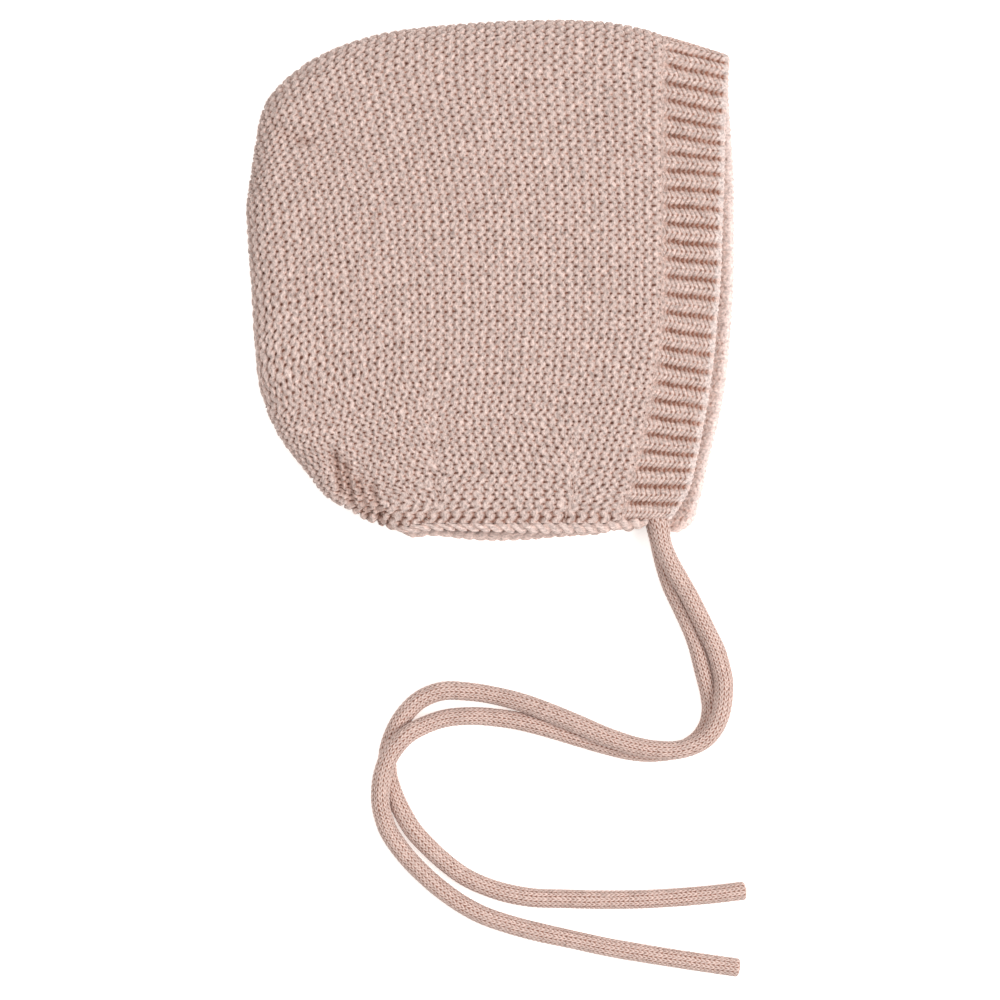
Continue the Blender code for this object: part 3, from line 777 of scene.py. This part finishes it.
def ridgeCount(points):
    # whole and part ridges from the seam: the ridges' widths at this height, added up until the point is reached
    x, y = points.T
    most = garterField["ridges"]
    pitch = np.interp(y, *zip(*garterField["pitch"]))
    widths = np.repeat(pitch[:, None], most, axis=1)
    for number, end in garterField["ended"]:
        widths[:, number] *= 0.02 + 0.98 * ease((y - end) / garterField["pinch"])
    seamAcross, seamUp = inPlace(bonnetPlan["seam"]).T
    reach = np.interp(y, seamUp, seamAcross) - x
    edges = np.concatenate([np.zeros((len(x), 1)), np.cumsum(widths, axis=1)], axis=1)
    k = np.clip((edges <= reach[:, None]).sum(1) - 1, 0, most - 1)
    pick = np.arange(len(x))
    return k + (reach - edges[pick, k]) / widths[pick, k], widths[pick, k] / pitch


def rowCount(points):
    # whole and part stitches from the neck: height plus the row's drop there, over the stitch pitch
    x, y = points.T
    levels, drops = zip(*garterField["drop"])
    t = np.clip(np.interp(y, levels, np.arange(len(levels))), 0, len(levels) - 1.001)
    k = t.astype(int)
    f = t - k
    f = f * 0.5 + ease(f) * 0.5  # half straight, half eased from level to level
    drops = np.array([np.interp(x, garterField["across"], np.array(drop) / 10000) for drop in drops])
    pick = np.arange(len(x))
    drop = drops[k, pick] * (1 - f) + drops[k + 1, pick] * f
    return (y + drop - garterField["lowest"]) / garterStitch["stitch"]


garterLoops, garterPits = garterRepeat()


def garterRelief(unrolled, seed):
    # loops less pits times their strength, with uneven stitches, a smooth column by the seam and deeper valleys
    # at the neck
    ridge, width = ridgeCount(unrolled)
    row = rowCount(unrolled)
    wobble = swayed(0, ridge, row, (0.10, 1.7, seed), (0.10, 0.62, seed + 5))
    slide = swayed(0, ridge, row, (0.10, 1.9, seed + 1), (0.09, 0.58, seed + 6))
    column, place = -ridge + wobble, -row + slide
    loops = swayed(readRepeat(garterLoops, column, place), ridge, row, (0.03, 0.8, seed + 3))
    pits = readRepeat(garterPits, column, place)
    full = ease((width - 0.12) / 0.5)  # 0 where a ridge has ended, 1 where it has its width
    # a strong hole has weaker ones above and below it
    above, below = (stitchNoise(column + 0.25, place + shift, seed + 2) for shift in (0.27, 1.27))
    mean, spread = garterField["holeStrength"]
    strength = (mean + spread * (above - below)) * full
    loops = 0.78 + (loops - 0.78) * (0.3 + 0.7 * full)
    neck = garterField["neckValley"]
    nearNeck = ease((neck["below"] - unrolled[:, 1]) / neck["over"])
    valley = np.exp(-((((column - neck["at"]) % 1 - 0.5) / neck["half"]) ** 2))
    loops = loops - nearNeck * neck["depth"] * valley
    seamShare = 1 - ease((ridge - 0.55) / 0.5)
    chain = 0.84 + 0.12 * np.cos(2 * np.pi * (row + 0.45 * ridge))
    chain = swayed(chain, ridge, row, (0.06, 0.5, seed + 4))
    smooth = garterField["seamSmooth"]
    loops = loops * (1 - smooth * seamShare) + chain * smooth * seamShare
    height = np.clip(loops - pits * strength, 0, 1.15)
    return height, loops, strength, column, place, seamShare


def garterMarks(flat, height, shift, loops, strength, relief):
    # the upper layer's pressed folds, which sink and take painted shade, and its knots, which rise, are painted
    # lighter and lose the painted shade of their holes
    for start, end, deep, half in garterField["folds"]:
        away, _ = nearestOn(flat, np.array([start, end]))
        dip = np.exp(-((away / half) ** 2))
        shift = shift - deep * dip
        loops = loops * (1 - garterField["foldShade"] * deep * dip)
    for x, y, long, wide, tall in garterField["knots"]:
        lump = np.exp(-((((flat[:, 0] - x) / long) ** 2 + ((flat[:, 1] - y) / wide) ** 2) ** 1.5))
        shift = shift + lump * (tall + 0.5 * relief * (0.9 - height))
        loops = loops + lump * 0.6 * (1 - loops)
        strength = strength * (1 - 0.8 * lump)
    return shift, loops, strength


def garterSheet(u, v, sideSign, inset, seed, relief, facesIn=False):
    # one layer of the crown: the plan stood up, moved along its normals by the stitches' height
    columns, rows = len(u), len(v)
    uu, vv = np.tile(u, rows), np.repeat(v, columns)
    side = np.full(len(uu), float(sideSign))
    base, unrolled, normal = standUp(crownPlan(uu, vv, side), side)
    height, loops, strength, column, place, seamShare = garterRelief(unrolled, seed)
    tone = 1 + toneBase + garterField["toneSpread"] * stitchNoise(column + 0.3, place + 0.27, seed + 7)
    tone = tone + garterField["seamTone"] * seamShare
    # the stitches stand out more along the folds, where the outline shows them
    level = 1 - np.abs(normal[:, 2])
    more, less = garterField["foldRelief"]
    shift = (height - 0.7) * relief * (1 + more * level) - 0.3 * relief + garterField["stand"] - less * level
    if sideSign > 0 and not facesIn:
        shift, loops, strength = garterMarks(base[:, :2], height, shift, loops, strength, relief)
    if facesIn:
        shift = -shift
    points = base + normal * (shift - inset)[:, None]
    if sideSign < 0 and not facesIn:  # the under layer's edge goes behind the upper one's all along the fold
        up, back = garterField["tuck"]
        tucked = ((uu == u[0]) | (vv == v[-1]))[:, None]
        points = points + tucked * ((0, 0, up) - normal * back)
    points[:, 2] = np.maximum(points[:, 2], 0.0)
    # stitchDepth is painted shade: the material darkens low loops, holes and valleys
    looks = {"stitchDepth": loops, "stitchTone": tone, "holeStrength": strength}
    looks = {label: values.reshape(rows, columns) for label, values in looks.items()}
    stitchPlace = np.column_stack([column, place, 0 * column]).reshape(rows, columns, 3)
    return points.reshape(rows, columns, 3), looks, stitchPlace


def crownSteps(length, pitch, perStitch, last):
    # shares from the fold inward: even steps of the bent part's angle, then even steps of the flat part
    reach = bonnetPlan["foldReach"]
    bent = max(2, round(reach * np.pi / 2 / pitch * perStitch))
    flat = max(2, round((length - reach) / pitch * perStitch))
    turn = np.linspace(0, np.pi / 2, bent + 1)
    return np.concatenate([reach / length * (1 - np.cos(turn)), np.linspace(reach / length, last, flat + 1)[1:]])


def crownGrid(layer):
    # shares across and up for one layer, with its own number of points a stitch
    quick, full = garterField["pointsPerStitch"][layer]
    perStitch = full
    u = crownSteps(bonnetPlan["depth"] * bonnetPlan["crownRun"], garterStitch["ridge"], perStitch, 0.9995)
    v = crownSteps(seamLength, garterStitch["stitch"], perStitch, 1.0)
    return u, 1 - v[::-1]


def addGarter(name, grid, looks, place, flip, columns=slice(None), normals=None):
    looks = {label: values[:, columns] for label, values in looks.items()}
    normals = normals[:, columns] if normals is not None else None
    piece = gridPiece(name, grid[:, columns], garterWool, looks, place[:, columns], flip=flip, normals=normals)
    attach(piece, "root")
    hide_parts("crown")
    print(name, len(piece.data.polygons) * 2, "triangles")


grid, looks, place = garterSheet(*crownGrid("upper"), 1, 0.0, garterField["seed"], garterField["relief"])
# cut in two for size, with one set of normals so that the cut can't be seen
half, facing = grid.shape[1] // 2, normalsOf(grid)
addGarter("crown_upper_back", grid, looks, place, False, slice(0, half + 1), facing)
addGarter("crown_upper_front", grid, looks, place, False, slice(half, None), facing)

# the same seed as above, so that the stitches run on round the fold
grid, looks, place = garterSheet(*crownGrid("under"), -1, 0.0, garterField["seed"], garterField["relief"])
addGarter("crown_under", grid, looks, place, True)

for label, sign in (("crown_lining_upper", 1), ("crown_lining_under", -1)):
    seed, relief = garterField["liningSeed"] + sign, garterField["relief"] * garterField["liningShare"]
    grid, looks, place = garterSheet(*crownGrid("lining"), sign, bonnetPlan["wall"], seed, relief, True)
    addGarter(label, grid, looks, place, sign > 0)

ribKnit = {
    "pitch": 0.00593,
    "stitches": 12,  # V's from the seam to the face edge
    "stepsPerRib": (6, 14),  # quick and full
    "stepsPerStitch": (3, 6),
    "stepsRim": 6,  # round the face edge
    "across": (-0.03, 0.975, 0.0),  # share where the outside starts, where it turns and where the inside ends
    "rise": 0.00100,  # rib top above the groove
    "top": 0.72,  # how much the rib's top falls towards its sides
    "groove": (0.53, 0.43, 1.2),  # height where it starts, width over the half width, power of its slope
    "relief": 0.00075,  # height of the V's
    "edgeRadius": 0.0013,
    "castOff": (0.0021, 0.16),  # loops along the face edge: length, and share of the radius
    # how steeply the ribs fall to the right, at each height
    "fall": ((0, 0.03), (0.11, 0.04), (0.17, 0.115), (0.24, 0.154), (0.36, 0.165), (0.42, 0.136), (0.49, 0.085),
             (0.74, 0.072), (0.80, 0.143), (0.86, 0.207), (0.93, 0.22), (1, 0.23)),
    "tone": (1.045, 0.04, 0.12, 0.30),  # lightness, how much stitches differ, and painted light: more at the face edge and inside it
    "paintedWarmth": (0.06, -0.28),  # painted shade's stronger colour in the grooves, and painted light's weaker colour at the face edge
    "spots": (0.95, 0.45),  # strength of the dark spots of painted shade, and how much stitches differ
}


def bandPlan(u, v, side):
    # straight lines from the seam to the face edge
    seam = seamLine(v, side)
    face = np.where(side[:, None] > 0, edgeLine("faceUpper", v), edgeLine("faceLower", v))
    return seam + u[:, None] * (face - seam)


def bandRows(perRib):
    # up the upper layer, round the top fold in even turns, down the under layer: share up, layer, length run
    reach, pitch = bonnetPlan["foldReach"], ribKnit["pitch"]
    flat = np.linspace(0, 1 - reach / seamLength, round((seamLength - reach) / pitch * perRib) + 1)
    turns = np.linspace(0, np.pi, round(reach * np.pi / pitch * perRib) + 1)[1:-1]
    bent = 1 - reach / seamLength * (1 - np.sin(turns))
    v = np.concatenate([flat, bent, flat[::-1]])
    side = np.concatenate([np.ones(len(flat)), np.where(turns < np.pi / 2, 1.0, -1.0), -np.ones(len(flat))])
    top = flat[-1] * seamLength
    down = top + reach * np.pi + (flat[-1] - flat[::-1]) * seamLength
    return v, side, np.concatenate([flat * seamLength, top + reach * turns, down])


def ribSection(phase):
    # a rounded top, sqrt(1 - top * x^2), that takes most of the pitch, and a groove; then 1 in the groove, else 0
    startHeight, width, power = ribKnit["groove"]
    crest = np.abs(phase % 1 - 0.5) / veeStitches["rib"]["Half"]
    top = np.sqrt(np.clip(1 - ribKnit["top"] * crest**2, 0, 1))
    groove = startHeight * (1 - ease((crest - 1) / width)) ** power
    return np.where(crest < 1, top, groove), ease((crest - 0.9) / 0.2)


def bandPiece():
    # one strip over both layers and the top fold; across it runs outside, round the face edge and back inside
    knit = ribKnit
    perRib, perStitch = (knit[label][1] for label in ("stepsPerRib", "stepsPerStitch"))
    v, side, run = bandRows(perRib)
    first, last, final = knit["across"]
    rim, stitches = knit["stepsRim"], knit["stitches"]
    outer = np.linspace(first, last, stitches * perStitch + 1)
    inner = np.linspace(last, final, stitches * max(2, perStitch // 2) + 1)
    shares = np.concatenate([outer, np.full(rim - 1, last), inner])
    rows, columns = len(v), len(shares)
    flatPoints = bandPlan(np.tile(shares, rows), np.repeat(v, columns), np.repeat(side, columns))
    parted = quarterRound(np.clip((1 - v) * seamLength / bonnetPlan["foldReach"], 0, 1))
    z = stackHeight(flatPoints) / 2 * (1 + np.repeat(side * parted, columns))
    base = np.column_stack([flatPoints, z]).reshape(rows, columns, 3)
    # the outside's own normals serve for the whole strip; a point in the upper layer tells which way they go
    out = normalsOf(base[:, : len(outer)])
    out *= 1 if out[rows // 5, len(outer) // 2, 2] > 0 else -1
    back = np.linspace(len(outer) - 1, 0, len(inner)).astype(int)
    normal = np.concatenate([out, np.repeat(out[:, -1:], rim - 1, axis=1), out[:, back]], axis=1)
    ahead = unit(base[:, len(outer) - 1] - base[:, len(outer) - 8])  # towards the face edge, within the sheet
    rimTurns = np.linspace(0, np.pi, rim + 1)[1:-1]
    turn = np.concatenate([np.zeros(len(outer)), rimTurns, np.full(len(inner), np.pi)])
    drop = bonnetPlan["bandWall"] / 2 * (1 - np.cos(turn))
    # the cast-off loops make the edge bumpy
    loopLength, loopShare = knit["castOff"]
    bumps = 1 + loopShare * np.cos(2 * np.pi * run / loopLength)
    push = (knit["edgeRadius"] * np.sin(turn))[None, :] * bumps[:, None]
    # the ribs fall less steeply than the lines of the plan
    seam, face = bandPlan(0 * v, v, side), bandPlan(0 * v + 1, v, side)
    lift = (seam - face)[:, 1] - np.interp(v, *zip(*knit["fall"])) * (face - seam)[:, 0]
    rib = (run / knit["pitch"])[:, None] - (side * lift / knit["pitch"])[:, None] * shares[None, :]
    stitch = (shares * stitches)[None, :] + 0 * rib
    row = stitch + swayed(0, rib * 2, stitch, (0.10, 2.1, 131), (0.10, 0.8, 135))
    phase = swayed(swayed(rib, rib, stitch, (0.035, 2.3, 132)), rib * 2, stitch, (0.02, 0.8, 136))
    profile, mix = ribSection(phase)
    grooveBump = swayed(0.42 + 0.40 * np.cos(2 * np.pi * (row + 0.1)), rib * 3, stitch, (0.12, 0.8, 133))
    height = veeRelief(phase, row, veeStitches["rib"]) * (1 - mix) + grooveBump * mix
    # relief grows over the first stitches after the seam and fades at the cast-off edge
    grown = ease((stitch + 0.45) / 1.2) * (1 - 0.75 * ease((stitch - stitches + 1.0) / 0.9))
    start = 0.66 + 0.16 * np.cos(2 * np.pi * (rib * knit["pitch"] / garterStitch["stitch"] + 0.5 * stitch))
    height = start + (height - start) * grown
    profile = 0.80 + (profile - 0.80) * grown
    shift = profile * knit["rise"] + height * knit["relief"] - knit["rise"] - knit["relief"] * 0.55
    # inside the band the ribs are turned round: a groove there is a ridge here
    innerCrest = np.clip(np.abs((phase + 0.5) % 1 - 0.5) / veeStitches["rib"]["Half"], 0, 1.17)
    innerProfile = np.sqrt(np.clip(1 - knit["top"] * innerCrest**2, 0, 1))
    innerShift = innerProfile * knit["rise"] - knit["rise"]
    swing = (1 + np.cos(turn))[None, :] / 2  # 1 outside, 0 inside
    total = shift * swing - innerShift * (1 - swing)
    grid = base + normal * (total - drop[None, :])[..., None] + ahead[:, None] * push[..., None]
    grid[..., 2] = np.maximum(grid[..., 2], 0.0)
    # painted shade: darker down the ribs' sides and into the grooves, lighter on the V's
    depth = (0.72 + 0.24 * profile) * (0.90 + 0.10 * height)
    depth = depth * swing + (0.84 + 0.12 * innerProfile) * (1 - swing)
    # painted light: the face edge and the inside round it are painted lighter and paler, as where light falls full
    # on the band
    edge = ease((stitch - stitches + 1.8) / 1.6)
    light, differ, edgeLight, insideEdgeLight = knit["tone"]
    tone = light + differ * stitchNoise(rib * 2, stitch, 134) + edgeLight * edge + insideEdgeLight * edge * (1 - swing)
    mean, spread = knit["spots"]
    strength = grown * (mean + spread * stitchNoise(rib * 2, row, 137)) * (0.55 + 0.45 * swing)
    # the grooves' painted shade begins a stitch later and is darkest at the third stitch; further on it turns
    # warm, and painted light makes it pale towards the face edge
    strength = strength * (1 - mix * (1 - ease((stitch - 0.2) / 2.0)))
    darker = 0.35 * np.exp(-(((stitch - 3.0) / 2.0) ** 2)) - 0.25 * ease((stitch - 5) / 6)
    strength = strength * (1 + mix * darker)
    grooveShadeWarmth, faceLightPaleness = knit["paintedWarmth"]
    paintedWarmth = grooveShadeWarmth * mix * ease((stitch - 2.5) / 7) * swing + faceLightPaleness * edge * (1 - mix * swing)
    looks = {
        "stitchDepth": depth,
        "stitchTone": tone + toneBase,
        "shadeAndLightWarmth": paintedWarmth,
        "holeStrength": strength,
    }
    place = np.stack([phase, row, 0 * phase], axis=-1)
    piece = gridPiece("front_band_knit", grid, ribWool, looks, place)
    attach(piece, "root")
    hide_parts("front_band")
    print("front_band_knit", len(piece.data.polygons) * 2, "triangles")


bandPiece()

edgingKnit = {
    "width": 0.0044,
    "gap": -0.0007,  # between the knit's edge and the chain, which overlap
    "link": 0.0042,  # one link along the edge
    "slant": 0.32,  # how far a link leads across the top, as a share of its length
    "relief": 0.00075,
    "thicker": 1.1,  # chain's height over the knit's wall
    "around": 20,
    "stepsPerLink": 10,
    "tail": 0.0016,  # length over which the ends close
    # on the under layer the links are plainer: share lost, level there, over what length
    "plain": (0.55, 0.75, 0.006),
    # how far it goes on below the band and in how many points, on the upper and the under layer
    "bandShares": ((0.60, 13), (0.30, 8)),
    "depth": (0.74, 0.24),  # painted shade: lightness between the links, and how much lighter a link is
    "tone": 1.12,
}


def neckEdgeLines(sign, bandShares):
    # the edge of one layer and a line just above it, from the back fold to the band
    turn = np.linspace(0, np.pi / 2, 8)
    bend = bonnetPlan["foldReach"] / (bonnetPlan["depth"] * bonnetPlan["neckRun"])
    u = np.concatenate([bend * (1 - np.cos(turn)), np.linspace(bend, 1, 60)[1:]])
    side, bandSide = np.full(len(u), sign), np.full(len(bandShares), sign)
    lines = []
    for lift in (0.0, 0.02):
        plan = [crownPlan(u, 0 * u + lift, side), bandPlan(bandShares, 0 * bandShares + lift, bandSide)]
        lines.append(standUp(np.concatenate(plan), np.concatenate([side, bandSide]))[0])
    return lines


def edgingPiece():
    # a tube along the neck edge of both layers; the radius follows slanted links
    knit, wall = edgingKnit, bonnetPlan["wall"]
    shares = [np.linspace(0, end, count)[1:] for end, count in knit["bandShares"]]
    upper, under = neckEdgeLines(1.0, shares[0]), neckEdgeLines(-1.0, shares[1])
    edge, above = (np.concatenate([one[::-1], other[1:]]) for one, other in zip(upper, under))
    run = np.concatenate([[0], np.cumsum(stepLengths(edge))])
    length = run[-1]
    links = round(length / knit["link"])
    at = np.linspace(0, length, links * knit["stepsPerLink"] + 1)
    edge, above = (np.column_stack([np.interp(at, run, line[:, k]) for k in range(3)]) for line in (edge, above))
    outward = unit(edge - above)
    normal = unit(np.cross(np.gradient(edge, axis=0), outward))
    middle = edge - normal * wall / 2 + outward * (knit["gap"] + knit["width"] / 2)
    turn = np.arange(knit["around"]) / knit["around"]
    angle, link = np.meshgrid(turn, at / length * links)
    # links slant across the top: a wave whose phase leads with the angle
    lean = swayed(link + knit["slant"] * np.cos(2 * np.pi * angle), link, angle * 6, (0.05, 1.3, 150))
    wave = 1 - (0.5 - 0.5 * np.cos(2 * np.pi * lean)) ** 3.0
    wave = wave * (1 + 0.1 * stitchNoise(lean, 0 * lean, 151))
    wave = swayed(wave, link * 3, angle * 9, (0.10, 1.0, 152))
    lost, level, over = knit["plain"]
    onUnder = ease((at - (length - sum(stepLengths(under[0])))) / over)[:, None]
    wave = wave + onUnder * lost * (level - wave)
    radius = 1 - (1 - wave) * knit["relief"] / (wall / 2)
    radius = radius * quarterRound(np.clip(np.minimum(at, length - at) / knit["tail"], 0, 1))[:, None]
    grid = (
        middle[:, None]
        + outward[:, None] * (np.cos(2 * np.pi * angle) * radius * knit["width"] / 2)[..., None]
        + normal[:, None] * (np.sin(2 * np.pi * angle) * radius * wall / 2 * knit["thicker"])[..., None]
    )
    grid[..., 2] = np.maximum(grid[..., 2], 0.0)
    low, more = knit["depth"]
    looks = {"stitchDepth": np.clip(low + more * wave, 0, 1), "stitchTone": knit["tone"] + toneBase + 0 * wave}
    piece = gridPiece("neck_edge_chain", grid, edgingWool, looks, closed=True)
    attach(piece, "root")
    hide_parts("neck_edge")
    print("neck_edge_chain", len(piece.data.polygons) * 2, "triangles")


edgingPiece()

studio = {
    "table": {"half": 3, "height": -0.0002},
    "paint": {
        "Base Color": (0.92, 0.92, 0.915, 1),
        "Roughness": 0.9,
        "Specular IOR Level": 0.1,
        "Emission Color": (1.0, 0.97, 0.94, 1),
        "Emission Strength": 0.50,  # a lit white table
    },
    "air": {"Color": (1.0, 1.0, 1.0, 1), "Strength": 0.48},
    "lamps": {
        "key": {"from": (1.35, -0.30, 1.70), "size": 1.0, "watts": 28},
        "top": {"from": (-0.35, 0.45, 2.3), "size": 1.8, "watts": 18},
    },
    "aim": (0.0, -0.05, 0.0),
}
far, level = studio["table"]["half"], studio["table"]["height"]
floorData = bpy.data.meshes.new("floor")
corners = [(x, y, level) for x, y in ((-far, -far), (far, -far), (far, far), (-far, far))]
floorData.from_pydata(corners, [], [(0, 1, 2, 3)])
floor = bpy.data.objects.new("floor", floorData)
bpy.context.scene.collection.objects.link(floor)
floorPaint = bpy.data.materials.new("floorPaint")
floorPaint.use_nodes = True
setInputs(floorPaint.node_tree.nodes["Principled BSDF"], studio["paint"])
floorData.materials.append(floorPaint)

bpy.context.scene.view_settings.view_transform = "Standard"
world = bpy.data.worlds.new("studioAir")
world.use_nodes = True
setInputs(world.node_tree.nodes["Background"], studio["air"])
bpy.context.scene.world = world
for label, lampPlan in studio["lamps"].items():
    lampData = bpy.data.lights.new(label + "Lamp", "AREA")
    lampData.shape = "SQUARE"
    lampData.size = lampPlan["size"]
    lampData.energy = lampPlan["watts"]
    lamp = bpy.data.objects.new(label + "Lamp", lampData)
    lamp.location = lampPlan["from"]
    aim = Vector(np.array(studio["aim"]) - lampPlan["from"])
    lamp.rotation_euler = aim.to_track_quat("-Z", "Y").to_euler()
    bpy.context.scene.collection.objects.link(lamp)
print("stage set")
